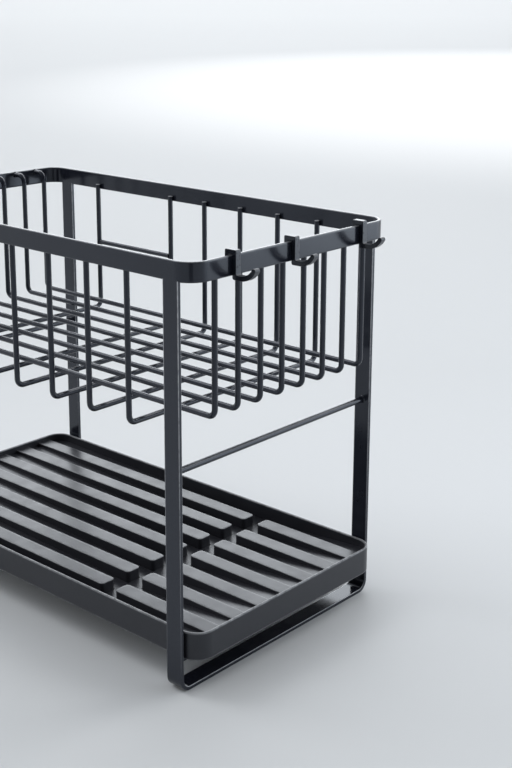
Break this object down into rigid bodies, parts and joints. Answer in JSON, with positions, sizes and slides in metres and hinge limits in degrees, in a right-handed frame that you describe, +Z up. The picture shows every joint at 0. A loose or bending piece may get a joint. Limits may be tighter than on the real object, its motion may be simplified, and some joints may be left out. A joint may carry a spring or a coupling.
{
  "type": "dish drying rack",
  "caption": "Two-level drying rack: black wire basket hung in a flat-bar stand, over a slide-out ribbed drip tray, with hooks on the end rail.",
  "frame": {"origin": "on the floor, under the middle of the rack's bounding box at rest (hook prongs counted)", "axes": "+X to the rack's right end, where the hooks are; +Y from front to back; +Z up"},
  "size_m": [0.437, 0.228, 0.3339],
  "materials": {
    "frame_paint": "semi-gloss black powder coat on steel bar and wire",
    "hook_paint": "semi-gloss black powder coat on steel",
    "tray_plastic": "satin black moulded plastic with a fine grain"
  },
  "bodies": {
    "rack": {"rim": "frame_paint", "end_frame_left": "frame_paint", "end_frame_right": "frame_paint", "upper_rod_left": "frame_paint", "upper_rod_right": "frame_paint", "tray_rod_left": "frame_paint", "tray_rod_right": "frame_paint", "low_bar_front": "frame_paint", "low_bar_back": "frame_paint", "long_wire_1": "frame_paint", "long_wire_2": "frame_paint", "long_wire_3": "frame_paint", "long_wire_4": "frame_paint", "long_wire_5": "frame_paint", "long_wire_6": "frame_paint", "long_wire_7": "frame_paint", "long_wire_8": "frame_paint", "cross_wire_1": "frame_paint", "cross_wire_2": "frame_paint", "cross_wire_3": "frame_paint", "cross_wire_4": "frame_paint", "cross_wire_5": "frame_paint", "cross_wire_6": "frame_paint"},
    "drip_tray": {"tray": "tray_plastic"},
    "hook_front": {"hook_1": "hook_paint"},
    "hook_middle": {"hook_2": "hook_paint"},
    "hook_back": {"hook_3": "hook_paint"}
  },
  "joints": [
    {"name": "tray_slide", "type": "slide", "parent": "rack", "child": "drip_tray", "axis": [1, 0, 0], "range_m": [0, 0.36]},
    {"name": "hook_front_slide", "type": "slide", "parent": "rack", "child": "hook_front", "axis": [0, 1, 0], "range_m": [-0.022, 0.031]},
    {"name": "hook_middle_slide", "type": "slide", "parent": "rack", "child": "hook_middle", "axis": [0, 1, 0], "range_m": [-0.027, 0.036]},
    {"name": "hook_back_slide", "type": "slide", "parent": "rack", "child": "hook_back", "axis": [0, 1, 0], "range_m": [-0.04, 0.017]}
  ]
}
